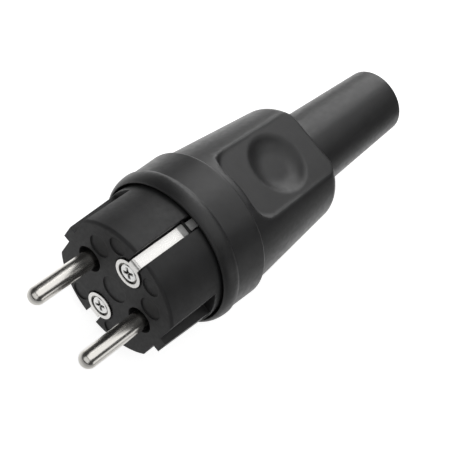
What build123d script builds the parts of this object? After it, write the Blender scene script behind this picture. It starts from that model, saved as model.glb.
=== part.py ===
"""Earthed two-pin plug with a one-piece rubber body, drawn in millimetres.

The origin is the centre of the engagement face, midway between the pins.
The pins point along -Y, the cable sleeve along +Y, the pins stand apart along X
and the two earth strips lie at +Z and -Z.
"""
import math
import os

from build123d import *

# Contact pins and their terminals
PIN_PITCH = 19.0
PIN_D = 4.8
PIN_PROJECTION = 19.0
PIN_ROOT_D = 5.3
PIN_ROOT_SHOWN = 1.0
PIN_POCKET_D = 7.2
PIN_POCKET_DEPTH = 5.0
TERMINAL_D = 7.6
TERMINAL_BEVEL = 0.5
WIRE_BORE_D = 3.4
WIRE_BORE_DEPTH = 9.0
TERMINAL_SCREW_D = 3.0
TERMINAL_SCREW_SETBACK = 5.0

# Contact carrier, the round black moulding that enters the socket
FRONT_WALL = 12.0
CHAMBER_WALL = 1.4
EARTH_RECESS = 3.0
CARRIER_EDGE = 0.8
SIDE_FLAT_WALL = 2.6
SIDE_FLAT_LENGTH = 15.1
RIB_WIDTH = 5.0
RIB_RECESS_FRONT = 0.9
RIB_RECESS_REAR = 0.4
FLANGE_SHOWN = 2.1
SEAT_DEPTH = 8.8
STRIP_BAR_WIDTH = 0.5
STRIP_BAR_T = 0.6
EJECTOR_MARK_D = 5.0
EJECTOR_MARK_OFFSET = 6.1
EJECTOR_MARK_INSET = 4.0
FACE_PANEL_D = 6.2
FACE_PANEL_RISE = 7.6
CENTRE_PANEL_D = 7.6
FACE_RELIEF = 0.35

# Earth strips, bridge and terminal
STRIP_WIDTH = 3.0
STRIP_T = 1.0
STRIP_FRONT_BEND = 1.2
STRIP_REAR_BEND = 1.4
STRIP_LENGTH = 16.2
STRIP_TAIL = 4.4
STRIP_TAIL_WIDTH = 2.4
STRIP_LEG = 3.6
TAB_PROUD = 0.4
EYELET_D = 7.8
EYELET_CUP = 1.2
CUP_WALL = 0.6
BRIDGE_WIDTH = 6.4
BRIDGE_T = 2.0
EARTH_WASHER_SIDE = 7.0
EARTH_WASHER_T = 1.2

# Screws and nuts
FRONT_SCREW_D = 3.0
FRONT_SCREW_INSET = 3.1
FRONT_HEAD_D = 5.2
FRONT_HEAD_BEVEL = 0.35
EARTH_SCREW_D = 4.0
COVER_SCREW_D = 3.0
COVER_SCREW_LENGTH = 9.0
COVER_SCREW_ANGLE = 46.0
COVER_BOSS_WALL = 1.5
CLAMP_SCREW_D = 3.0
CLAMP_NUT_AF = 5.5
CLAMP_NUT_H = 2.4
SMALL_HEAD_RATIO = 1.75
SMALL_HEAD_H = 2.0
SMALL_BEVEL_RATIO = 0.12
DRIVE_DEPTH = 1.1

# Rear carrier and cord clamp
COVER_T = 2.5
TROUGH_LENGTH = 9.5
TROUGH_WALL = 2.4
CLAMP_LENGTH = 9.0
CLAMP_EAR_DROP = 5.4
CORD_D = 9.0
SADDLE_WIDTH = 7.0
SADDLE_EAR_T = 2.6
SADDLE_ARCH_WALL = 2.6
GRIP_RIB = 0.5

# Rubber body
LIP_WALL = 2.05
LIP_LENGTH = 3.7
WAIST_WALL = 1.6
BAND_WALL = 1.85
MOUTH_FLARE = 0.55
MOUTH_FLARE_LENGTH = 1.4
BEAD_H = 0.6
BEAD_WIDTH = 1.4
COLLAR_BACK = 3.1
COLLAR_STEP = 1.05
BARREL_LENGTH = 35.9
BARREL_REAR_R = 16.85
GRIP_CUT = 3.6
GRIP_START = 1.8
GRIP_CORNER = 7.4
GRIP_FILLET = 2.0
GRIP_REAR_ROUND = 1.2
DIMPLE_D = 16.5
DIMPLE_FLOOR_D = 7.0
DIMPLE_BEVEL = 0.4
DIMPLE_DEPTH = 1.6
DIMPLE_SETBACK = 20.1
BARREL_WALL = 2.85
GRIP_WALL = 1.15
SHOULDER_WIDTH = 4.6
CAVITY_FRONT = 3.0
CAVITY_TAPER = 10.0
SLEEVE_LENGTH = 38.3
SLEEVE_ROOT_R = 11.1
SLEEVE_END_R = 9.6
SLEEVE_END_BEVEL = 0.6
SLEEVE_BORE_D = 11.2

# Clearances
RUN_GAP = 0.15
THREAD_GAP = 0.05
HOLE_GAP = 0.2
HEAD_GAP = 0.35
GROOVE_GAP = 0.4
CHAMBER_GAP = 0.3
CLAMP_GAP = 1.2
PAST = 2.0

# Radii and levels that follow from the sizes above
pin_x = PIN_PITCH / 2
chamber_r = pin_x + TERMINAL_D / 2 + CHAMBER_GAP
strip_floor = chamber_r + CHAMBER_WALL
earth_z = strip_floor + STRIP_T
carrier_r = earth_z + EARTH_RECESS
flat_x = chamber_r + SIDE_FLAT_WALL
groove_w = STRIP_WIDTH + 2 * GROOVE_GAP
screw_z = chamber_r - FRONT_SCREW_INSET
tab_front = -TAB_PROUD
tab_back = tab_front + STRIP_T
cup_r = FRONT_HEAD_D / 2 + HEAD_GAP
cup_floor = tab_front + EYELET_CUP
cup_back = cup_floor + CUP_WALL
seat_r = carrier_r + RUN_GAP
lip_r = seat_r + LIP_WALL
waist_r = seat_r + WAIST_WALL
band_r = seat_r + BAND_WALL
barrel_r = band_r - COLLAR_STEP
shoulder = BARREL_REAR_R - SLEEVE_ROOT_R
boss_r = COVER_SCREW_D / 2 + COVER_BOSS_WALL
boss_circle = chamber_r - CHAMBER_GAP

# Stations along the plug, from the engagement face towards the sleeve end
mouth_y = SIDE_FLAT_LENGTH + FLANGE_SHOWN
carrier_end = mouth_y + SEAT_DEPTH
bead_y = carrier_end - BEAD_WIDTH
terminal_screw_y = carrier_end - TERMINAL_SCREW_SETBACK
bridge_back = FRONT_WALL + BRIDGE_T
strip_end = STRIP_LENGTH + STRIP_TAIL
cover_end = carrier_end + COVER_T
collar_end = cover_end + COLLAR_BACK
barrel_end = collar_end + BARREL_LENGTH
sleeve_end = barrel_end + SLEEVE_LENGTH
clamp_start = cover_end + TROUGH_LENGTH
clamp_end = clamp_start + CLAMP_LENGTH
clamp_mid = (clamp_start + clamp_end) / 2

# The hollow in the barrel and the clamp that lies in it
barrel_fall = (barrel_r - BARREL_REAR_R) / BARREL_LENGTH
cavity_r = BARREL_REAR_R - BARREL_WALL
cavity_z = BARREL_REAR_R - GRIP_CUT - DIMPLE_DEPTH - GRIP_WALL
clamp_x = cavity_r - CLAMP_GAP
trough_r = cavity_z - CHAMBER_GAP
clamp_screw_x = clamp_x - CLAMP_NUT_AF / math.sqrt(3) - HOLE_GAP


def softened(face, rounds):
    """The flat outline with each named corner rounded by its radius."""
    for corner, radius in rounds:
        face = fillet(face.vertices().sort_by_distance(corner + (0,))[0], radius)
    return face


def turned(*points, rounds=()):
    """Spin a closed outline of (radius, y) points about the plug's axis."""
    return revolve(softened(make_face(Polyline(*points, close=True)), rounds), Axis.Y)


def rod(radius, y0, y1, x=0.0, z=0.0):
    """Cylinder along the plug's axis from y0 to y1."""
    return Pos(x, (y0 + y1) / 2, z) * Rot(90, 0, 0) * Cylinder(radius, y1 - y0)


def block(x0, x1, y0, y1, z0, z1):
    """Box between two corners."""
    return Pos((x0 + x1) / 2, (y0 + y1) / 2, (z0 + z1) / 2) * Box(x1 - x0, y1 - y0, z1 - z0)


def both_ends(shape):
    """The shape and its copy half a turn away about the plug's axis."""
    return [shape, Rot(0, 180, 0) * shape]


def cross_recess(head_d):
    """Tapered cross for a cross-head driver, cut down from the top of a head at z = 0."""
    slot = Rectangle(head_d * 0.64, head_d * 0.16) + Rectangle(head_d * 0.16, head_d * 0.64)
    return Rot(0, 0, 45) * extrude(slot, amount=-DRIVE_DEPTH * 0.8, taper=14)


def slot_recess(head_d, head_h):
    """Straight driver slot across the top of a head."""
    return Pos(0, 0, head_h) * Box(head_d * 1.2, head_d * 0.18, DRIVE_DEPTH)


def slotted_screw(shank_d, shank_length):
    """Small cheese-head screw with a straight slot and a bevelled rim, along Z."""
    shank_r = shank_d / 2
    head_r = shank_r * SMALL_HEAD_RATIO
    bevel = shank_d * SMALL_BEVEL_RATIO
    screw = turned((0, SMALL_HEAD_H), (head_r - bevel, SMALL_HEAD_H), (head_r, SMALL_HEAD_H - bevel),
                   (head_r, 0), (shank_r, 0), (shank_r, -shank_length), (0, -shank_length))
    return Rot(90, 0, 0) * screw - slot_recess(head_r * 2, SMALL_HEAD_H)


def contact_pin():
    """Solid pin with a ball end, a thicker root in its pocket and the barrel terminal behind it."""
    radius = PIN_D / 2
    root_r = PIN_ROOT_D / 2
    root_y = PIN_POCKET_DEPTH - PIN_ROOT_SHOWN
    barrel = TERMINAL_D / 2
    tip = -PIN_PROJECTION
    terminal_end = carrier_end - CHAMBER_GAP
    shaft = turned((0, tip), (radius, tip), (radius, root_y), (root_r, root_y), (root_r, FRONT_WALL),
                   (barrel, FRONT_WALL), (barrel, terminal_end - TERMINAL_BEVEL),
                   (barrel - TERMINAL_BEVEL, terminal_end), (0, terminal_end),
                   rounds=[((radius, tip), radius * 0.98)])
    shaft -= rod(WIRE_BORE_D / 2, terminal_end - WIRE_BORE_DEPTH, terminal_end + PAST)
    screw_hole = Rot(0, 90, 0) * Cylinder(TERMINAL_SCREW_D / 2 + THREAD_GAP, TERMINAL_D)
    return shaft - Pos(TERMINAL_D / 2, terminal_screw_y, 0) * screw_hole


def pin_terminal_screw():
    """Terminal screw of the right-hand pin, its head turned outwards."""
    length = TERMINAL_D / 2 - WIRE_BORE_D / 4
    screw = slotted_screw(TERMINAL_SCREW_D, length)
    return Pos(pin_x + TERMINAL_D / 2 + RUN_GAP, terminal_screw_y, 0) * Rot(0, 90, 0) * screw


def side_flats():
    """Cutters for the flats that leave a drafted guide rib on each side of the carrier."""
    outer = carrier_r + PAST
    rib_front = carrier_r - RIB_RECESS_FRONT
    rib_rear = carrier_r - RIB_RECESS_REAR
    flat = block(flat_x, outer, -PAST, SIDE_FLAT_LENGTH, -carrier_r, carrier_r)
    draft = (rib_rear - rib_front) / SIDE_FLAT_LENGTH
    rib = make_face(Polyline((flat_x - PAST, -PAST), (rib_front - draft * PAST, -PAST),
                             (rib_rear, SIDE_FLAT_LENGTH), (flat_x - PAST, SIDE_FLAT_LENGTH), close=True))
    return both_ends(flat - extrude(rib, amount=RIB_WIDTH / 2, both=True))


def strip_channel():
    """Cutter for one earth strip: groove crossed by a bar, sunk front and slot for the rear leg."""
    half = groove_w / 2
    top = carrier_r + PAST
    leg_front = strip_end - STRIP_T
    slot_end = strip_end + HOLE_GAP
    bar_z = earth_z + RUN_GAP
    groove = block(-half, half, -PAST, slot_end, strip_floor, top)
    groove -= block(-half, half, STRIP_LENGTH, STRIP_LENGTH + STRIP_BAR_WIDTH, bar_z, bar_z + STRIP_BAR_T)
    front = block(-half, half, -PAST, tab_back, screw_z, top)
    slot = block(-half, half, leg_front - HOLE_GAP, slot_end, chamber_r - PAST, top)
    relief = extrude(Plane.YZ * make_face(Polyline(
        (tab_back, strip_floor - STRIP_FRONT_BEND), (tab_back + STRIP_FRONT_BEND, strip_floor),
        (tab_back - PAST, strip_floor), close=True)), amount=half, both=True)
    rear_relief = extrude(Plane.YZ * make_face(Polyline(
        (leg_front - STRIP_REAR_BEND, strip_floor), (leg_front, strip_floor - STRIP_REAR_BEND),
        (leg_front, strip_floor), close=True)), amount=half, both=True)
    return groove + front + slot + relief + rear_relief


def contact_carrier():
    """Round moulding with the face, side flats, strip grooves and terminal chamber."""
    groove_r = seat_r - BEAD_H - RUN_GAP
    half_bead = BEAD_WIDTH / 2 + RUN_GAP
    body = turned((0, 0), (carrier_r, 0), (carrier_r, bead_y - half_bead), (groove_r, bead_y - half_bead),
                  (groove_r, bead_y + half_bead), (carrier_r, bead_y + half_bead),
                  (carrier_r, carrier_end), (0, carrier_end),
                  rounds=[((carrier_r, 0), CARRIER_EDGE)])
    chamber = rod(chamber_r, FRONT_WALL, carrier_end + PAST)
    boss_x = boss_circle * math.cos(math.radians(COVER_SCREW_ANGLE))
    boss_z = boss_circle * math.sin(math.radians(COVER_SCREW_ANGLE))
    for boss in both_ends(rod(boss_r, FRONT_WALL, carrier_end + PAST, boss_x, boss_z)):
        chamber -= boss
    body -= chamber
    pilot_start = carrier_end + COVER_T - COVER_SCREW_LENGTH - PAST
    pilot_hole = rod(COVER_SCREW_D / 2 + THREAD_GAP, pilot_start, carrier_end + PAST, boss_x, boss_z)
    for pilot in both_ends(pilot_hole):
        body -= pilot
    for cutter in side_flats() + both_ends(strip_channel()):
        body -= cutter
    for x in (-pin_x, pin_x):
        body -= rod(PIN_ROOT_D / 2 + THREAD_GAP, -PAST, FRONT_WALL + PAST, x)
        body -= rod(PIN_POCKET_D / 2, -PAST, PIN_POCKET_DEPTH, x)
        body -= rod(FACE_PANEL_D / 2, -PAST, FACE_RELIEF, x, FACE_PANEL_RISE)
        access = Rot(0, 90, 0) * Cylinder(TERMINAL_SCREW_D * SMALL_HEAD_RATIO / 2 + HOLE_GAP, carrier_r)
        body -= Pos(math.copysign(carrier_r, x), terminal_screw_y, 0) * access
    body -= rod(CENTRE_PANEL_D / 2, -PAST, FACE_RELIEF)
    body -= rod(EARTH_SCREW_D / 2 + HOLE_GAP, FRONT_WALL - BRIDGE_T, FRONT_WALL + PAST)
    for z in (-screw_z, screw_z):
        body -= rod(FRONT_SCREW_D / 2 + HOLE_GAP, -PAST, FRONT_WALL + PAST, 0, z)
        body -= rod(cup_r + CUP_WALL + HOLE_GAP, -PAST, cup_back, 0, z)
        body -= rod(EYELET_D / 2 + GROOVE_GAP, -PAST, tab_back, 0, z)
    for x in (-EJECTOR_MARK_OFFSET, EJECTOR_MARK_OFFSET):
        mark_z = math.sqrt(carrier_r ** 2 - x ** 2) - EJECTOR_MARK_INSET
        for z in (-mark_z, mark_z):
            body -= rod(EJECTOR_MARK_D / 2, -PAST, FACE_RELIEF, x, z)
    return body


def earth_strip():
    """Upper earth strip: folded, with a cupped eyelet on the face, a narrow tail and a leg at the rear."""
    leg_front = strip_end - STRIP_T
    leg_z = earth_z - STRIP_LEG
    outline = make_face(Polyline(
        (tab_front, screw_z), (tab_front, earth_z), (strip_end, earth_z), (strip_end, leg_z),
        (leg_front, leg_z), (leg_front, strip_floor), (tab_back, strip_floor), (tab_back, screw_z), close=True))
    outline = softened(outline, [((tab_front, earth_z), STRIP_FRONT_BEND),
                                 ((strip_end, earth_z), STRIP_REAR_BEND),
                                 ((tab_back, strip_floor), STRIP_FRONT_BEND - STRIP_T),
                                 ((leg_front, strip_floor), STRIP_REAR_BEND - STRIP_T)])
    strip = extrude(Plane.YZ * outline, amount=STRIP_WIDTH / 2, both=True)
    for x0, x1 in ((-STRIP_WIDTH, -STRIP_TAIL_WIDTH / 2), (STRIP_TAIL_WIDTH / 2, STRIP_WIDTH)):
        strip -= block(x0, x1, STRIP_LENGTH, strip_end + PAST, leg_z - PAST, earth_z + PAST)
    strip += rod(EYELET_D / 2, tab_front, tab_back, 0, screw_z)
    strip += rod(cup_r + CUP_WALL, tab_front, cup_back, 0, screw_z)
    strip -= rod(cup_r, tab_front - PAST, cup_floor, 0, screw_z)
    return strip - rod(FRONT_SCREW_D / 2 + HOLE_GAP, -PAST, cup_back + PAST, 0, screw_z)


def front_screw():
    """Upper front screw: its cross-recess head lies in the eyelet's cup, its end in the earth bridge."""
    head_r = FRONT_HEAD_D / 2
    shank_r = FRONT_SCREW_D / 2
    top = tab_front + RUN_GAP
    tip = bridge_back + STRIP_T
    screw = turned((0, top), (head_r - FRONT_HEAD_BEVEL, top), (head_r, top + FRONT_HEAD_BEVEL),
                   (head_r, cup_floor), (shank_r, cup_floor), (shank_r, tip), (0, tip))
    screw -= Pos(0, top, 0) * Rot(90, 0, 0) * cross_recess(FRONT_HEAD_D)
    return Pos(0, 0, screw_z) * screw


def earth_bridge():
    """Strap on the chamber floor that joins both strips and carries the earth terminal."""
    reach = chamber_r - RUN_GAP
    strap = rod(reach, FRONT_WALL, bridge_back)
    strap &= block(-BRIDGE_WIDTH / 2, BRIDGE_WIDTH / 2, FRONT_WALL, bridge_back, -reach, reach)
    for z, screw_d in ((-screw_z, FRONT_SCREW_D), (0, EARTH_SCREW_D), (screw_z, FRONT_SCREW_D)):
        strap -= rod(screw_d / 2 + THREAD_GAP, FRONT_WALL - PAST, bridge_back + PAST, 0, z)
    return strap


def earth_clamp_washer():
    """Square cupped washer that holds the earth wire on the bridge."""
    half = EARTH_WASHER_SIDE / 2
    lip = EARTH_WASHER_T / 2
    washer = block(-half, half, bridge_back, bridge_back + EARTH_WASHER_T, -half, half)
    washer = fillet(washer.edges().filter_by(Axis.Y), EARTH_WASHER_SIDE * 0.1)
    washer -= block(-half + lip, half - lip, bridge_back - PAST, bridge_back + lip / 2,
                    -half - PAST, half + PAST)
    return washer - rod(EARTH_SCREW_D / 2 + HOLE_GAP, FRONT_WALL, bridge_back + PAST, 0, 0)


def earth_terminal_screw():
    """Earth terminal screw, driven from the cable side."""
    length = BRIDGE_T + EARTH_WASHER_T + BRIDGE_T / 2
    screw = slotted_screw(EARTH_SCREW_D, length)
    return Pos(0, bridge_back + EARTH_WASHER_T, 0) * Rot(-90, 0, 0) * screw


def cover_screw():
    """Countersunk screw that holds the rear carrier on a boss of the contact carrier."""
    radius = COVER_SCREW_D / 2
    head_r = radius * 2
    tip = cover_end - COVER_SCREW_LENGTH
    x = boss_circle * math.cos(math.radians(COVER_SCREW_ANGLE))
    z = boss_circle * math.sin(math.radians(COVER_SCREW_ANGLE))
    screw = turned((0, tip), (radius * 0.5, tip), (radius, tip + radius),
                   (radius, cover_end - head_r + radius), (head_r, cover_end), (0, cover_end))
    screw -= Pos(0, cover_end, 0) * Rot(-90, 0, 0) * slot_recess(head_r * 2, 0)
    return Pos(x, 0, z) * screw


def cord_cradle(y0, y1):
    """Cutter for the cord's half-round seat, with two grip ribs left standing."""
    seat = rod(CORD_D / 2, y0, y1)
    rib_w = (y1 - y0) / 7
    for station in (2.5, 4.5):
        y = y0 + station * rib_w
        rib = rod(CORD_D / 2, y - rib_w / 2, y + rib_w / 2)
        rib -= rod(CORD_D / 2 - GRIP_RIB, y - rib_w / 2, y + rib_w / 2)
        seat -= rib
    return seat


def rear_carrier():
    """Cover of the terminal chamber with the trough and the lower half of the cord clamp."""
    below = block(-carrier_r, carrier_r, cover_end, clamp_end, -carrier_r, 0)
    cover = rod(carrier_r, carrier_end, cover_end)
    trough = rod(trough_r, cover_end, clamp_end)
    trough -= rod(trough_r - TROUGH_WALL, cover_end, clamp_start)
    ears = block(-clamp_x, clamp_x, clamp_start, clamp_end, -CLAMP_EAR_DROP, 0)
    ears = fillet(ears.edges().filter_by(Axis.Y).group_by(Axis.Z)[0], SADDLE_EAR_T / 2)
    part = cover + (trough & below) + ears
    part -= rod(CORD_D / 2, cover_end - COVER_T - PAST, cover_end)
    part -= cord_cradle(clamp_start, clamp_end)
    for x in (-pin_x, pin_x):
        part -= rod(WIRE_BORE_D / 2 + GROOVE_GAP, carrier_end - PAST, cover_end + PAST, x)
        nut_x = math.copysign(clamp_screw_x, x)
        part -= Pos(nut_x, clamp_mid, 0) * Cylinder(CLAMP_SCREW_D / 2 + HOLE_GAP, carrier_r)
        hexagon = RegularPolygon(CLAMP_NUT_AF / 2 + HOLE_GAP, 6, major_radius=False)
        pocket = extrude(hexagon, amount=-carrier_r)
        part -= Pos(nut_x, clamp_mid, CLAMP_NUT_H - CLAMP_EAR_DROP) * pocket
    seat = cover_screw_seat()
    for hole in both_ends(seat):
        part -= hole
    return part


def cover_screw_seat():
    """Countersunk hole for a cover screw."""
    radius = COVER_SCREW_D / 2
    head_r = radius * 2
    x = boss_circle * math.cos(math.radians(COVER_SCREW_ANGLE))
    z = boss_circle * math.sin(math.radians(COVER_SCREW_ANGLE))
    gap = HOLE_GAP
    return Pos(x, 0, z) * turned((0, carrier_end - PAST), (radius + gap, carrier_end - PAST),
                                 (radius + gap, cover_end - head_r + radius), (head_r + gap, cover_end),
                                 (head_r + gap, cover_end + PAST), (0, cover_end + PAST))


def cord_saddle():
    """Upper half of the cord clamp: two ears and an arch over the cord."""
    y0 = clamp_mid - SADDLE_WIDTH / 2
    y1 = clamp_mid + SADDLE_WIDTH / 2
    ears = block(-clamp_x, clamp_x, y0, y1, 0, SADDLE_EAR_T)
    ears = fillet(ears.edges().filter_by(Axis.Z), SADDLE_EAR_T / 2)
    arch = rod(CORD_D / 2 + SADDLE_ARCH_WALL, y0, y1)
    arch &= block(-clamp_x, clamp_x, y0, y1, 0, clamp_x)
    saddle = ears + arch
    saddle -= cord_cradle(y0, y1)
    head_r = CLAMP_SCREW_D / 2 * SMALL_HEAD_RATIO
    head_seat = Cylinder(head_r + RUN_GAP, carrier_r, align=(Align.CENTER, Align.CENTER, Align.MIN))
    for x in (-clamp_screw_x, clamp_screw_x):
        saddle -= Pos(x, clamp_mid, 0) * Cylinder(CLAMP_SCREW_D / 2 + HOLE_GAP, carrier_r)
        saddle -= Pos(x, clamp_mid, SADDLE_EAR_T) * head_seat
    return saddle


def clamp_screw(x):
    """Clamp screw, driven down through the saddle into its nut."""
    length = SADDLE_EAR_T + CLAMP_EAR_DROP
    return Pos(x, clamp_mid, SADDLE_EAR_T) * slotted_screw(CLAMP_SCREW_D, length)


def clamp_nut(x):
    """Hexagon nut in the pocket under the clamp ear."""
    nut = extrude(RegularPolygon(CLAMP_NUT_AF / 2, 6, major_radius=False), amount=CLAMP_NUT_H)
    nut -= Cylinder(CLAMP_SCREW_D / 2 + THREAD_GAP, CLAMP_NUT_H * 3)
    return Pos(x, clamp_mid, -CLAMP_EAR_DROP) * nut


def grip_plane():
    """Plane of the upper thumb flat, parallel to the top line of the tapered barrel."""
    return Plane(origin=(0, collar_end, barrel_r - GRIP_CUT), x_dir=(1, 0, 0), z_dir=(0, barrel_fall, 1))


def dimple():
    """Cutter for the thumb dimple, with a flat floor, a curved wall and a bevelled rim, along Z."""
    rim = DIMPLE_D / 2
    floor = DIMPLE_FLOOR_D / 2
    wall = TangentArc((floor, -DIMPLE_DEPTH), (rim, 0), tangent=(1, 0))
    top = Polyline((rim, 0), (rim + PAST, 0), (rim + PAST, PAST), (0, PAST), (0, -DIMPLE_DEPTH),
                   (floor, -DIMPLE_DEPTH))
    section = make_face(wall + top)
    section = chamfer(section.vertices().sort_by_distance((rim, 0, 0))[0], DIMPLE_BEVEL)
    return Rot(90, 0, 0) * revolve(section, Axis.Y)


def thumb_grip():
    """Cutter for one thumb flat with its ramped front end, its rounded rear edge and the dimple."""
    half_width = math.sqrt(2 * GRIP_CUT * barrel_r - GRIP_CUT ** 2) + HOLE_GAP
    reach = BARREL_LENGTH + shoulder
    outline = make_face(Polyline((-half_width, GRIP_START), (half_width, GRIP_START),
                                 (half_width, reach), (-half_width, reach), close=True))
    outline = softened(outline, [((x, GRIP_START), GRIP_CORNER) for x in (-half_width, half_width)])
    flat = extrude(outline, amount=GRIP_CUT * 2)
    floor_edges = flat.edges().group_by(Axis.Z)[0].sort_by(Axis.Y)
    flat = fillet(floor_edges[:-1], GRIP_FILLET)
    rear_y = BARREL_LENGTH * math.hypot(1, barrel_fall)
    round_y = rear_y - GRIP_REAR_ROUND
    rear = block(-half_width, half_width, round_y, reach, -GRIP_REAR_ROUND, GRIP_CUT)
    rear -= Pos(0, round_y, -GRIP_REAR_ROUND) * Rot(0, 90, 0) * Cylinder(GRIP_REAR_ROUND, half_width * 3)
    return grip_plane() * (flat + rear + Pos(0, DIMPLE_SETBACK, 0) * dimple())


def rubber_hollow():
    """Everything taken out of the rubber body: carrier seat, clamp cavity and cord bore."""
    half_bead = BEAD_WIDTH / 2
    bead_r = seat_r - BEAD_H
    mouth_r = seat_r + MOUTH_FLARE
    flare_y = mouth_y + MOUTH_FLARE_LENGTH
    seat = turned((0, mouth_y - PAST), (mouth_r, mouth_y - PAST), (mouth_r, mouth_y + RUN_GAP),
                  (seat_r, flare_y), (seat_r, bead_y - half_bead), (bead_r, bead_y - half_bead / 2),
                  (bead_r, bead_y + half_bead / 2), (seat_r, bead_y + half_bead),
                  (seat_r, cover_end), (0, cover_end))
    bore_r = SLEEVE_BORE_D / 2
    taper_y = clamp_end + CHAMBER_GAP + CLAMP_GAP
    cavity = turned((0, cover_end - PAST), (seat_r - SHOULDER_WIDTH, cover_end - PAST),
                    (seat_r - SHOULDER_WIDTH, cover_end + CAVITY_FRONT),
                    (cavity_r, cover_end + 2 * CAVITY_FRONT), (cavity_r, taper_y),
                    (bore_r, taper_y + CAVITY_TAPER), (bore_r, sleeve_end + PAST), (0, sleeve_end + PAST))
    cavity &= block(-lip_r, lip_r, cover_end - PAST, sleeve_end + PAST, -cavity_z, cavity_z)
    return [seat, cavity]


def rubber_body():
    """Collar, tapered barrel and cable sleeve moulded in one piece of rubber."""
    lip_end = mouth_y + LIP_LENGTH
    step = lip_r - waist_r
    roll_r = seat_r + MOUTH_FLARE
    roll = EllipticalCenterArc((roll_r, lip_end), lip_r - roll_r, LIP_LENGTH, start_angle=270, arc_size=90)
    back = Polyline(roll @ 1, (waist_r, lip_end + 2 * step), (band_r, collar_end),
                    (barrel_r, collar_end), (BARREL_REAR_R, barrel_end), (SLEEVE_ROOT_R, barrel_end),
                    (SLEEVE_END_R, sleeve_end - SLEEVE_END_BEVEL),
                    (SLEEVE_END_R - SLEEVE_END_BEVEL, sleeve_end), (0, sleeve_end), (0, mouth_y), roll @ 0)
    rounds = [((waist_r, lip_end + 2 * step), step), ((band_r, collar_end), COLLAR_STEP * 0.7),
              ((BARREL_REAR_R, barrel_end), shoulder * 0.7), ((SLEEVE_ROOT_R, barrel_end), shoulder * 0.2)]
    body = revolve(softened(make_face(roll + back), rounds), Axis.Y)
    for cutter in both_ends(thumb_grip()) + rubber_hollow():
        body -= cutter
    return body


pin = contact_pin()
strips = both_ends(earth_strip())
nodes = {
    "rubber_body": rubber_body(),
    "contact_carrier": contact_carrier(),
    "rear_carrier": rear_carrier(),
    "pin_left": Pos(-pin_x, 0, 0) * Rot(0, 180, 0) * pin,
    "pin_right": Pos(pin_x, 0, 0) * pin,
    "pin_terminal_screws": Compound(both_ends(pin_terminal_screw())),
    "earth_strip_upper": strips[0],
    "earth_strip_lower": strips[1],
    "front_screws": Compound(both_ends(front_screw())),
    "earth_bridge": earth_bridge(),
    "earth_clamp_washer": earth_clamp_washer(),
    "earth_terminal_screw": earth_terminal_screw(),
    "cover_screws": Compound(both_ends(cover_screw())),
    "cord_saddle": cord_saddle(),
    "clamp_screws": Compound([clamp_screw(-clamp_screw_x), clamp_screw(clamp_screw_x)]),
    "clamp_nuts": Compound([clamp_nut(-clamp_screw_x), clamp_nut(clamp_screw_x)]),
}

os.makedirs("parts", exist_ok=True)
for name, shape in nodes.items():
    export_step(shape, f"parts/{name}.step")
    print(f"{name}: {shape.volume:.1f} mm3")
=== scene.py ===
# %% [markdown]
# # An earthed plug with a rubber body
# The solids come from the CAD model and already have the plug's true shapes,
# down to the recesses in the screw heads. This lesson gives each of them its
# finish, and sets the plug on a white table for its picture.

# %% Load the frame
import math

import bmesh
import bpy
from mathutils import Matrix, Vector


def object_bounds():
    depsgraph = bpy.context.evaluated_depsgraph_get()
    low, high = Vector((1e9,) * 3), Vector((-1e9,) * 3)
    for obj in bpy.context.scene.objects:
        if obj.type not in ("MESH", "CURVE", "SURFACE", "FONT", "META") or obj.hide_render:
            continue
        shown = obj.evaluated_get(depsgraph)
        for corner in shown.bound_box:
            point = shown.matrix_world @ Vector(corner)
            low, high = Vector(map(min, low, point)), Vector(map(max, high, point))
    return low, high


MM = 0.001
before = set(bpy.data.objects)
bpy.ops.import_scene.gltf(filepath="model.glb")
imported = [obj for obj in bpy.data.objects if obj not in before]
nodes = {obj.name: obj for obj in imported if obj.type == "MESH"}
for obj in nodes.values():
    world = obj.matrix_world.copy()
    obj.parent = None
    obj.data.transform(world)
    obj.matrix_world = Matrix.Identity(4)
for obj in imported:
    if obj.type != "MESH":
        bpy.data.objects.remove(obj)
cad_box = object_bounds()
print("loaded", len(nodes), "CAD nodes,", [round(v / MM, 1) for v in cad_box[1] - cad_box[0]], "mm")

# %% [markdown]
# ## Smooth faces and crisp edges
# The CAD mesh arrives as loose triangles, so each one would shade flat. They
# could be merged by hand, but the mesh has to stay as it is. A Weld modifier
# merges the corners on the fly, and a Decimate modifier joins the triangles
# that lie in one plane. Smoothing by angle then blends the round faces, while
# the rim of a groove or a hole stays sharp.

# %% Shade the CAD nodes
WELD_GAP = 0.002 * MM
FLAT_ANGLE = math.radians(0.3)
SMOOTH_ANGLE = math.radians(32)
LARGE_FACES_FIRST = 100


def merge_triangles(piece):
    """Join the corners of a piece, and the triangles of each flat face."""
    weld = piece.modifiers.new("weld", "WELD")
    weld.merge_threshold = WELD_GAP
    merge = piece.modifiers.new("flat_regions", "DECIMATE")
    merge.decimate_type = "DISSOLVE"
    merge.angle_limit = FLAT_ANGLE


def shade_smooth(piece):
    """Smooth every edge of a piece that is not a real corner."""
    bpy.context.view_layer.objects.active = piece
    for other in bpy.context.selected_objects:
        other.select_set(False)
    piece.select_set(True)
    bpy.ops.object.shade_auto_smooth(angle=SMOOTH_ANGLE)
    piece.select_set(False)
    # Smoothing pins itself last, and the weighted normals have to follow it.
    piece.modifiers[-1].use_pin_to_last = False
    weighted = piece.modifiers.new("flat_faces", "WEIGHTED_NORMAL")
    weighted.keep_sharp = True
    weighted.weight = LARGE_FACES_FIRST


for node in nodes.values():
    merge_triangles(node)
    shade_smooth(node)
print("triangles", {name: len(node.data.polygons) for name, node in nodes.items()})

# %% [markdown]
# ## Noise for the finishes
# No real surface has one even colour. Each finish takes a noise on the piece's
# own coordinates and lets it drive the colour, the gloss or the height of the
# surface. A painted picture could do the same, but it would have to be wrapped
# round every piece, and noise stays sharp from close by.

# %% Materials and noise
EVEN = (1.0, 1.0, 1.0)


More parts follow.
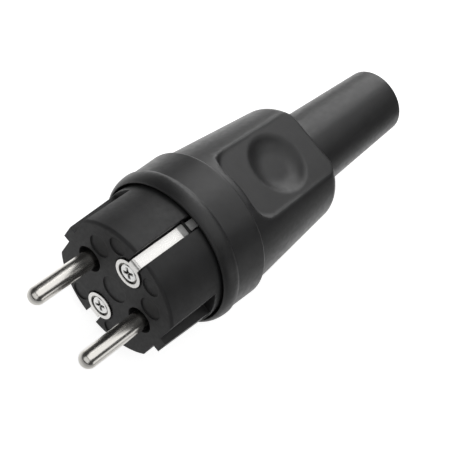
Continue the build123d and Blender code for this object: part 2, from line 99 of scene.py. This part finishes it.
def new_material(name):
    """A material with its node tree and its main shader."""
    material = bpy.data.materials.new(name)
    material.use_nodes = True
    tree = material.node_tree
    return material, tree, tree.nodes["Principled BSDF"]


def noise(tree, scale, detail, stretch=EVEN):
    """Noise on the piece's own coordinates, scale in cells per metre."""
    coords = tree.nodes.new("ShaderNodeTexCoord")
    mapping = tree.nodes.new("ShaderNodeMapping")
    mapping.inputs["Scale"].default_value = stretch
    texture = tree.nodes.new("ShaderNodeTexNoise")
    texture.inputs["Scale"].default_value = scale
    texture.inputs["Detail"].default_value = detail
    tree.links.new(coords.outputs["Object"], mapping.inputs["Vector"])
    tree.links.new(mapping.outputs["Vector"], texture.inputs["Vector"])
    return texture.outputs["Fac"]


print("a noise of scale", round(1 / MM), "has cells of 1 mm")

# %% [markdown]
# ## Ranges and tones
# A noise stays near the middle of its range, so it looks weak when it is used
# as it is. Both ends are cut off and the rest is stretched, either between
# two numbers or over the colours between two tones.

# %% Ranges and tones
NUMBER_PART = (0.30, 0.70)
TONE_PART = (0.35, 0.65)


def remap(tree, value, low, high, start=0.0, end=1.0):
    """A value that runs from start to end, made to run from low to high."""
    span = tree.nodes.new("ShaderNodeMapRange")
    span.inputs["From Min"].default_value = start
    span.inputs["From Max"].default_value = end
    span.inputs["To Min"].default_value = low
    span.inputs["To Max"].default_value = high
    tree.links.new(value, span.inputs["Value"])
    return span.outputs["Result"]


def spread(tree, value, low, high):
    """A number that drifts between two limits with a noise."""
    return remap(tree, value, low, high, *NUMBER_PART)


def mottle(tree, value, dark, light):
    """A colour that drifts between two tones with a noise."""
    ramp = tree.nodes.new("ShaderNodeValToRGB")
    for stop, place, tone in zip(ramp.color_ramp.elements, TONE_PART, (dark, light)):
        stop.position = place
        stop.color = (*tone, 1.0)
    tree.links.new(value, ramp.inputs["Fac"])
    return ramp.outputs["Color"]


def blend(tree, kind, factor, first, second):
    """Two numbers or two colours, mixed by a factor."""
    mix = tree.nodes.new("ShaderNodeMix")
    mix.data_type = kind
    tree.links.new(factor, mix.inputs["Factor"])
    tree.links.new(first, mix.inputs["A"])
    tree.links.new(second, mix.inputs["B"])
    return mix.outputs["Result"]


print("numbers use the noise from", *NUMBER_PART, "and tones use it from", *TONE_PART)

# %% [markdown]
# ## Soft edges
# A moulded or stamped edge is never knife sharp. Cutting bevels into the mesh
# would show that with many more faces, so the Bevel node only turns the
# normals over a small radius. Where it turns them far, the surface is an edge.
# Edges are what hands rub, and there the rubber also gets a painted highlight.

# %% Edges and relief
EDGE_SAMPLES = 8
FACE_COSINE = 0.99
EDGE_COSINE = 0.90


def soft_edges(tree, radius):
    """Normals that turn each edge over a small radius, in metres."""
    edges = tree.nodes.new("ShaderNodeBevel")
    edges.samples = EDGE_SAMPLES
    edges.inputs["Radius"].default_value = radius
    return edges


def rubbed_and_highlit(tree, edges):
    """0 on the faces, 1 on the turned edges, where hands rub the surface and a highlight is painted.
    """
    surface = tree.nodes.new("ShaderNodeNewGeometry")
    turned = tree.nodes.new("ShaderNodeVectorMath")
    turned.operation = "DOT_PRODUCT"
    tree.links.new(edges.outputs["Normal"], turned.inputs[0])
    tree.links.new(surface.outputs["Normal"], turned.inputs[1])
    return remap(tree, turned.outputs["Value"], 0.0, 1.0, FACE_COSINE, EDGE_COSINE)


def relief(tree, shader, value, depth, edges):
    """Fine height on the surface, depth in metres, over normals with soft edges."""
    bump = tree.nodes.new("ShaderNodeBump")
    bump.inputs["Strength"].default_value = 1.0
    bump.inputs["Distance"].default_value = depth
    tree.links.new(value, bump.inputs["Height"])
    tree.links.new(edges.outputs["Normal"], bump.inputs["Normal"])
    tree.links.new(bump.outputs["Normal"], shader.inputs["Normal"])


print("an edge is rubbed from", round(math.degrees(math.acos(FACE_COSINE))), "degrees of turn")

# %% [markdown]
# ## Places along the plug
# Some pieces change their finish part of the way along. Cutting such a piece
# in two would give each half a material, but the solids stay whole. A step on
# the coordinate along the plug does it without a cut.

# %% Steps along the plug
def behind(tree, station, fade):
    """0 in front of a station along the plug, 1 behind it. Station and fade are in metres."""
    coords = tree.nodes.new("ShaderNodeTexCoord")
    axes = tree.nodes.new("ShaderNodeSeparateXYZ")
    tree.links.new(coords.outputs["Object"], axes.inputs["Vector"])
    return remap(tree, axes.outputs["Y"], 0.0, 1.0, station, station + fade)


print("stations run from", round(cad_box[0].y / MM, 1), "to", round(cad_box[1].y / MM, 1), "mm")

# %% [markdown]
# ## Black rubber
# The body is moulded in soft black rubber. Rubber takes the fine matt grain
# of its mould, so it has a broad satin sheen and no sharp reflections. The
# edges of the thumb flats are rounder than those of the collar. Hands polish
# the edges smoother than the rest, and they are painted a little greyer as a
# highlight. One plain roughness would look like wax from close by, so noise
# breaks it up.

# %% Rubber finish
COLLAR_EDGE = 0.4 * MM
BARREL_EDGE = 1.4 * MM
BARREL_FROM = 32.2 * MM
BARREL_FADE = 1.0 * MM
RUBBER_TONES = ((0.017, 0.017, 0.0175), (0.022, 0.022, 0.0225))
EDGE_HIGHLIGHT_TONES = ((0.034, 0.034, 0.035), (0.050, 0.050, 0.051))
RUBBER_ROUGHNESS = (0.38, 0.48)
RUBBED_ROUGHNESS = (0.26, 0.34)
RUBBER_CLOUDS = (160, 3)
EDGE_HIGHLIGHT_SPECKS = (900, 3)
RUBBER_GRAIN = (700, 5)
RUBBER_PIMPLES = (4200, 2)
RUBBER_PIMPLE_DEPTH = 0.004 * MM


def moulded_rubber():
    """Matt black rubber with smoother edges and a painted highlight on them."""
    material, tree, shader = new_material("moulded_rubber")
    edges = soft_edges(tree, COLLAR_EDGE)
    barrel = behind(tree, BARREL_FROM, BARREL_FADE)
    tree.links.new(remap(tree, barrel, COLLAR_EDGE, BARREL_EDGE), edges.inputs["Radius"])
    worn_and_highlit = rubbed_and_highlit(tree, edges)
    matt = mottle(tree, noise(tree, *RUBBER_CLOUDS), *RUBBER_TONES)
    # Painted highlight: the edges take a lighter grey than the faces.
    grey = mottle(tree, noise(tree, *EDGE_HIGHLIGHT_SPECKS), *EDGE_HIGHLIGHT_TONES)
    tree.links.new(blend(tree, "RGBA", worn_and_highlit, matt, grey), shader.inputs["Base Color"])
    grain = noise(tree, *RUBBER_GRAIN)
    rough = spread(tree, grain, *RUBBER_ROUGHNESS)
    smooth = spread(tree, grain, *RUBBED_ROUGHNESS)
    tree.links.new(blend(tree, "FLOAT", worn_and_highlit, rough, smooth), shader.inputs["Roughness"])
    relief(tree, shader, noise(tree, *RUBBER_PIMPLES), RUBBER_PIMPLE_DEPTH, edges)
    return material


rubber = moulded_rubber()
print(rubber.name, "uses", len(rubber.node_tree.nodes), "shader nodes")

# %% [markdown]
# ## Black carrier plastic
# The carrier is a hard thermoset. Its sides are drawn out of the mould and
# come out satin, while the face keeps the matt grain of the mould's end. The
# face is painted a little paler, a painted sheen for the light that grain
# scatters. One material serves both, with a step just behind the face. The
# two plastic pieces inside are a dark grey.

# %% Carrier finish
FACE_DEPTH = 0.3 * MM
FACE_FADE = 0.2 * MM
FACE_PAINTED_SHEEN = 1.5
CARRIER_BLACK = (Vector((0.014, 0.014, 0.0145)), Vector((0.019, 0.019, 0.0195)))
INNER_GREY = (Vector((0.045, 0.045, 0.046)), Vector((0.060, 0.060, 0.061)))
FACE_ROUGHNESS = (0.54, 0.66)
SIDE_ROUGHNESS = (0.44, 0.56)
CARRIER_SHEEN = 0.40
CARRIER_EDGE = 0.2 * MM
CARRIER_CLOUDS = (220, 3)
CARRIER_GRAIN = (900, 4)
CARRIER_PIMPLES = (6500, 2)
CARRIER_PIMPLE_DEPTH = 0.005 * MM


def carrier_plastic(name, dark, light):
    """Satin plastic with a matt face, painted paler as a sheen."""
    material, tree, shader = new_material(name)
    shader.inputs["Specular IOR Level"].default_value = CARRIER_SHEEN
    sides = behind(tree, FACE_DEPTH, FACE_FADE)
    clouds = noise(tree, *CARRIER_CLOUDS)
    # Painted sheen: the matt face takes a paler tone than the sides.
    painted_sheen_tone = mottle(tree, clouds, dark * FACE_PAINTED_SHEEN, light * FACE_PAINTED_SHEEN)
    drawn_tone = mottle(tree, clouds, dark, light)
    tree.links.new(blend(tree, "RGBA", sides, painted_sheen_tone, drawn_tone), shader.inputs["Base Color"])
    grain = noise(tree, *CARRIER_GRAIN)
    matt = spread(tree, grain, *FACE_ROUGHNESS)
    drawn = spread(tree, grain, *SIDE_ROUGHNESS)
    tree.links.new(blend(tree, "FLOAT", sides, matt, drawn), shader.inputs["Roughness"])
    edges = soft_edges(tree, CARRIER_EDGE)
    relief(tree, shader, noise(tree, *CARRIER_PIMPLES), CARRIER_PIMPLE_DEPTH, edges)
    return material


carrier = carrier_plastic("carrier_plastic", *CARRIER_BLACK)
inner = carrier_plastic("inner_plastic", *INNER_GREY)
print(carrier.name, "and", inner.name, "step at", round(FACE_DEPTH / MM, 1), "mm behind the face")

# %% [markdown]
# ## Dark recesses
# Down in a screw's driver recess and in the gap round its head, the metal is
# painted darker: a painted shade. It could have a material of its own there,
# but then its faces would have to be picked out one by one. Ambient Occlusion
# finds such places by looking for walls close by.

# %% Recesses
RECESS_REACH = 0.8 * MM
RECESS_SAMPLES = 8
OPEN_VIEW = 0.80
RECESS_VIEW = 0.40


def recess_shade_mask(tree):
    """0 on open faces, 1 deep in a recess or a gap, where shade is painted."""
    walls = tree.nodes.new("ShaderNodeAmbientOcclusion")
    walls.samples = RECESS_SAMPLES
    walls.inputs["Distance"].default_value = RECESS_REACH
    return remap(tree, walls.outputs["AO"], 0.0, 1.0, OPEN_VIEW, RECESS_VIEW)


print("walls count up to", round(RECESS_REACH / MM, 1), "mm away")

# %% [markdown]
# ## Plated metal
# The pins are nickel plated and the screws are zinc plated. Plating is bright,
# but it shows the metal below, and drawing leaves fine marks along the pins.
# Such marks could be drawn one by one. Noise that is stretched along the plug
# gives them all at once. Screws and stamped brass have a short grain that runs
# every way.

# %% Metal finish
ALONG = (1.0, 0.06, 1.0)
NICKEL_TONES = ((0.70, 0.68, 0.64), (0.80, 0.78, 0.74))
NICKEL_ROUGHNESS = (0.18, 0.26)
ZINC_TONES = ((0.84, 0.84, 0.83), (0.92, 0.92, 0.91))
ZINC_ROUGHNESS = (0.16, 0.26)
BRASS_TONES = ((0.66, 0.50, 0.22), (0.74, 0.57, 0.28))
BRASS_ROUGHNESS = (0.25, 0.35)
RECESS_SHADE_TONES = ((0.15, 0.15, 0.145), (0.22, 0.22, 0.21))
METAL_EDGE = 0.12 * MM
METAL_CLOUDS = (300, 3)
METAL_SPECKS = (900, 3)
METAL_GRAIN = (1500, 4)
METAL_MARKS = (5000, 2)
METAL_MARK_DEPTH = 0.0006 * MM


def plated_metal(name, tones, roughness, stretch=EVEN):
    """Bright metal with fine marks, and painted shade in its recesses and gaps."""
    material, tree, shader = new_material(name)
    shader.inputs["Metallic"].default_value = 1.0
    bright = mottle(tree, noise(tree, *METAL_CLOUDS, stretch), *tones)
    # Painted shade: recesses and gaps take a darker colour where walls are close.
    dull = mottle(tree, noise(tree, *METAL_SPECKS), *RECESS_SHADE_TONES)
    tree.links.new(blend(tree, "RGBA", recess_shade_mask(tree), bright, dull), shader.inputs["Base Color"])
    grain = noise(tree, *METAL_GRAIN, stretch)
    tree.links.new(spread(tree, grain, *roughness), shader.inputs["Roughness"])
    marks = noise(tree, *METAL_MARKS, stretch)
    relief(tree, shader, marks, METAL_MARK_DEPTH, soft_edges(tree, METAL_EDGE))
    return material


nickel = plated_metal("polished_nickel", NICKEL_TONES, NICKEL_ROUGHNESS, ALONG)
zinc = plated_metal("zinc_plate", ZINC_TONES, ZINC_ROUGHNESS)
brass = plated_metal("stamped_brass", BRASS_TONES, BRASS_ROUGHNESS)
print("metals:", nickel.name, zinc.name, brass.name)

# %% [markdown]
# ## Burnished strips
# A socket's springs rub the earth strips bright, but only as far as they
# reach. Behind that line the plating is a dull grey, and the tail behind the
# carrier's bar is a paler one. Each stretch could have a material of its own,
# but a strip is one solid, so two steps along it switch between the three.

# %% Strip finish
BURNISHED_TO = 14.4 * MM
TAIL_FROM = 16.4 * MM
BURNISH_FADE = 0.15 * MM
BURNISHED_TONES = ((0.80, 0.79, 0.77), (0.88, 0.87, 0.85))
DULL_TONES = ((0.52, 0.52, 0.51), (0.66, 0.66, 0.65))
TAIL_TONES = ((0.82, 0.82, 0.81), (0.92, 0.92, 0.91))
BURNISHED_ROUGHNESS = (0.20, 0.30)
DULL_ROUGHNESS = (0.60, 0.72)


def burnished_strip():
    """Bright metal in front, dull plating behind it and a pale tail."""
    material, tree, shader = new_material("strip_nickel")
    dull = behind(tree, BURNISHED_TO, BURNISH_FADE)
    tree.links.new(remap(tree, dull, 1.0, 0.0), shader.inputs["Metallic"])
    bright = mottle(tree, noise(tree, *METAL_CLOUDS, ALONG), *BURNISHED_TONES)
    specks = noise(tree, *METAL_SPECKS)
    grey = mottle(tree, specks, *DULL_TONES)
    pale = mottle(tree, specks, *TAIL_TONES)
    rear = blend(tree, "RGBA", behind(tree, TAIL_FROM, BURNISH_FADE), grey, pale)
    tree.links.new(blend(tree, "RGBA", dull, bright, rear), shader.inputs["Base Color"])
    fine = spread(tree, noise(tree, *METAL_GRAIN, ALONG), *BURNISHED_ROUGHNESS)
    coarse = spread(tree, noise(tree, *METAL_GRAIN), *DULL_ROUGHNESS)
    tree.links.new(blend(tree, "FLOAT", dull, fine, coarse), shader.inputs["Roughness"])
    marks = noise(tree, *METAL_MARKS, ALONG)
    relief(tree, shader, marks, METAL_MARK_DEPTH, soft_edges(tree, METAL_EDGE))
    return material


strip_plate = burnished_strip()
print(strip_plate.name, "is bright as far as", round(BURNISHED_TO / MM, 1), "mm")

# %% [markdown]
# ## Dress the nodes
# Each node takes the finish of the real piece. The screws, the nuts and the
# washer are all zinc plated, so zinc is what a node gets when it is not in
# the list.

# %% Finishes
finishes = {
    "rubber_body": rubber,
    "contact_carrier": carrier,
    "rear_carrier": inner,
    "cord_saddle": inner,
    "pin_left": nickel,
    "pin_right": nickel,
    "earth_strip_upper": strip_plate,
    "earth_strip_lower": strip_plate,
    "earth_bridge": brass,
}
for name, node in nodes.items():
    node.data.materials.clear()
    node.data.materials.append(finishes.get(name, zinc))
print("finished", len(nodes), "nodes,", len(nodes) - len(finishes), "of them in zinc")

# %% [markdown]
# ## The table
# The plug lies on a white table, level with its lowest point. The table is one
# large square, because the picture never shows its edge.

# %% Table
TABLE_HALF = 3.0
scene = bpy.context.scene
table_mesh = bpy.data.meshes.new("table")
bm = bmesh.new()
bmesh.ops.create_grid(bm, x_segments=1, y_segments=1, size=TABLE_HALF)
bmesh.ops.translate(bm, verts=bm.verts, vec=(0.0, 0.0, cad_box[0].z))
bm.to_mesh(table_mesh)
bm.free()
table = bpy.data.objects.new("table", table_mesh)
scene.collection.objects.link(table)
print("table at", round(cad_box[0].z / MM, 1), "mm")

# %% [markdown]
# ## White without bleaching
# More lamps would make the table white, but they would bleach the plug too.
# So the table and the wall glow instead. What the camera sees of that glow
# and what a shiny piece mirrors are set apart, since the plug should show only
# a soft part of it.

# %% Glow for each kind of ray
def feed(tree, source, socket):
    """Set a socket to a number, or link it to another node."""
    if isinstance(source, float):
        socket.default_value = source
    else:
        tree.links.new(source, socket)


def ray_glow(tree, seen, mirrored, rest):
    """Camera rays see one glow, all others see the rest, and mirrored rays see some more on top."""
    rays = tree.nodes.new("ShaderNodeLightPath")
    direct = remap(tree, rays.outputs["Is Camera Ray"], rest, 1.0)
    feed(tree, seen, direct.node.inputs["To Max"])
    strength = tree.nodes.new("ShaderNodeMath")
    strength.operation = "MULTIPLY_ADD"
    tree.links.new(rays.outputs["Is Glossy Ray"], strength.inputs[0])
    feed(tree, mirrored, strength.inputs[1])
    tree.links.new(direct, strength.inputs[2])
    return strength.outputs["Value"]


print("glow is set for camera rays, mirrored rays and the rest")

# %% [markdown]
# ## The table's glow
# Near the plug the lamps light the table too, so there it needs less glow to
# look white than it does further away. In the rubber and the metal it shows
# as a pool of light round the plug that fades outwards.

# %% Table glow
TABLE_GLOW = 0.82
WALL_GLOW = 1.0
GLOW_NEAR = 0.30
GLOW_FAR = 0.60
POOL_GLOW = 1.35
POOL_PLACE = Vector((-0.02, 0.085))
POOL_REACH = Vector((0.13, 0.18))


def white_ground(tree):
    """The glow for the camera, stronger where the lamps do not reach."""
    coords = tree.nodes.new("ShaderNodeTexCoord")
    away = tree.nodes.new("ShaderNodeVectorMath")
    away.operation = "LENGTH"
    tree.links.new(coords.outputs["Object"], away.inputs[0])
    return remap(tree, away.outputs["Value"], TABLE_GLOW, WALL_GLOW, GLOW_NEAR, GLOW_FAR)


def light_pool(tree):
    """The glow for mirrored rays, an oval that fades outwards."""
    coords = tree.nodes.new("ShaderNodeTexCoord")
    mapping = tree.nodes.new("ShaderNodeMapping")
    mapping.vector_type = "TEXTURE"
    mapping.inputs["Location"].default_value = (*POOL_PLACE, cad_box[0].z)
    mapping.inputs["Scale"].default_value = (*POOL_REACH, 1.0)
    oval = tree.nodes.new("ShaderNodeTexGradient")
    oval.gradient_type = "SPHERICAL"
    tree.links.new(coords.outputs["Object"], mapping.inputs["Vector"])
    tree.links.new(mapping.outputs["Vector"], oval.inputs["Vector"])
    fade = remap(tree, oval.outputs["Fac"], 0.0, POOL_GLOW)
    fade.node.interpolation_type = "SMOOTHSTEP"
    return fade


print("light pool", [round(2 * reach, 2) for reach in POOL_REACH], "m across")

# %% [markdown]
# ## The table's surface
# Under its glow the table is matt and light grey, which is what takes the
# plug's shadow. A glossy table would mirror the plug.

# %% Table finish
WHITE = (1.0, 1.0, 1.0, 1.0)
TABLE_TONES = ((0.60, 0.60, 0.60), (0.62, 0.62, 0.62))
TABLE_CLOUDS = (30, 2)
TABLE_ROUGHNESS = 0.9
TABLE_SHEEN = 0.1


def table_finish():
    """A matt surface with its two glows."""
    material, tree, shader = new_material("white_table")
    shader.inputs["Roughness"].default_value = TABLE_ROUGHNESS
    shader.inputs["Specular IOR Level"].default_value = TABLE_SHEEN
    shader.inputs["Emission Color"].default_value = WHITE
    tree.links.new(mottle(tree, noise(tree, *TABLE_CLOUDS), *TABLE_TONES), shader.inputs["Base Color"])
    glow = ray_glow(tree, white_ground(tree), light_pool(tree), 0.0)
    tree.links.new(glow, shader.inputs["Emission Strength"])
    return material


table_mesh.materials.append(table_finish())
print("staged", table.name, "in", table_mesh.materials[0].name)

# %% [markdown]
# ## The room
# The room stays dim, which leaves the dark band along the body. Only the
# camera sees its wall as white. A real white backdrop would shine on the plug
# from all sides and flatten it.

# %% World
ROOM_LIGHT = 0.03
MIRRORED_WALL = 0.02
scene.view_settings.view_transform = "Standard"
world = bpy.data.worlds.new("studio")
scene.world = world
world.use_nodes = True
background = world.node_tree.nodes["Background"]
background.inputs["Color"].default_value = WHITE
wall = ray_glow(world.node_tree, WALL_GLOW, MIRRORED_WALL, ROOM_LIGHT)
world.node_tree.links.new(wall, background.inputs["Strength"])
print("room light", ROOM_LIGHT, "beside a wall of", WALL_GLOW)

# %% [markdown]
# ## Studio light
# A tall softbox stands behind the plug to the left and draws the broad sheen
# on the rubber. A weaker one hangs above, for the flat metal. A low panel on
# the right gives the pins their second bright line, and a faint one in front
# lifts the face. Bare bulbs would give hard spots instead of a sheen.

# %% Lamps
plug_middle = (cad_box[0] + cad_box[1]) / 2


def softbox(name, shape, azimuth, elevation, distance, size, brightness):
    """A lamp panel that faces the plug. Azimuth runs from +Y towards -X, in degrees."""
    turn = math.radians(azimuth)
    rise = math.radians(elevation)
    away = Vector((-math.sin(turn) * math.cos(rise), math.cos(turn) * math.cos(rise), math.sin(rise)))
    lamp = bpy.data.lights.new(name, "AREA")
    lamp.shape = shape
    lamp.size, lamp.size_y = size
    # A matt panel of brightness 1 sends out pi watts from each square metre.
    filled = math.pi / 4 if shape == "ELLIPSE" else 1.0
    lamp.energy = brightness * math.pi * size[0] * size[1] * filled
    holder = bpy.data.objects.new(name, lamp)
    holder.location = plug_middle + away * distance
    holder.rotation_euler = (-away).to_track_quat("-Z", "Y").to_euler()
    holder.visible_camera = False
    scene.collection.objects.link(holder)
    print(name, round(lamp.energy, 2), "W")


softbox("back_softbox", "ELLIPSE", azimuth=34, elevation=25,
        distance=0.6, size=(0.44, 0.62), brightness=2.6)
softbox("top_softbox", "RECTANGLE", azimuth=0, elevation=78,
        distance=0.7, size=(0.90, 1.10), brightness=1.05)
softbox("front_softbox", "RECTANGLE", azimuth=180, elevation=36,
        distance=0.9, size=(1.20, 0.70), brightness=0.70)
softbox("right_softbox", "RECTANGLE", azimuth=-76, elevation=8,
        distance=0.6, size=(0.40, 0.26), brightness=0.90)

# %% [markdown]
# ## Camera
# The camera stands in front of the plug and above it, and is turned about
# its own axis so that the plug points to the lower left, as in the picture.
# Its place and turn were fitted to the picture with the known size of the
# pins, so they are given as numbers and not aimed by eye.

# %% Camera
IMAGE_WIDTH = 450
FOCAL_PIXELS = 1150.0
SENSOR_WIDTH = 36.0
NEAR_LIMIT = 0.01
CAMERA_PLACE = Vector((26.09, -132.04, 242.63)) * MM
CAMERA_RIGHT = Vector((0.635, 0.6605, 0.4006))
CAMERA_UP = Vector((-0.7687, 0.4889, 0.4124))
lens = bpy.data.cameras.new("photo_camera")
lens.sensor_width = SENSOR_WIDTH
lens.lens = SENSOR_WIDTH * FOCAL_PIXELS / IMAGE_WIDTH
lens.clip_start = NEAR_LIMIT
camera = bpy.data.objects.new("photo_camera", lens)
turn = Matrix((CAMERA_RIGHT, CAMERA_UP, CAMERA_RIGHT.cross(CAMERA_UP))).transposed().to_4x4()
camera.matrix_world = Matrix.Translation(CAMERA_PLACE) @ turn
scene.collection.objects.link(camera)
scene.camera = camera
print("lens", round(lens.lens, 1), "mm")
